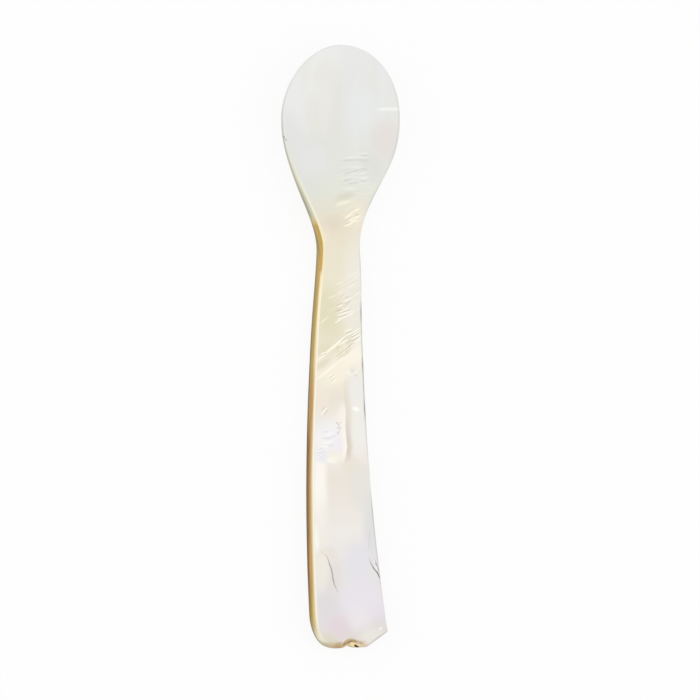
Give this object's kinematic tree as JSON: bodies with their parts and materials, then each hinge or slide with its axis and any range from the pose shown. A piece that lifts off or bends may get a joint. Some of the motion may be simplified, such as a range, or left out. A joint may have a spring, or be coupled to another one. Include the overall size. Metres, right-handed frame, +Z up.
{
  "type": "dessert spoon",
  "caption": "Small shell dessert spoon with a shallow oval bowl, a narrow neck and a flat handle that widens and bends to the right towards its butt.",
  "frame": {"origin": "middle of the bounding box on the plane that the spoon lies on", "axes": "+Y along the spoon towards the tip of the bowl, +Z up out of the face, +X to the right seen from the face"},
  "size_m": [0.0232, 0.11, 0.0043],
  "materials": {
    "nacre": "polished mother-of-pearl",
    "golden_shell": "polished golden shell layer",
    "shell_rind": "smoothed brown outer skin of the shell"
  },
  "bodies": {
    "root": {"nacre_body": "nacre", "golden_layer": "golden_shell", "brown_rind": "shell_rind"}
  },
  "joints": []
}
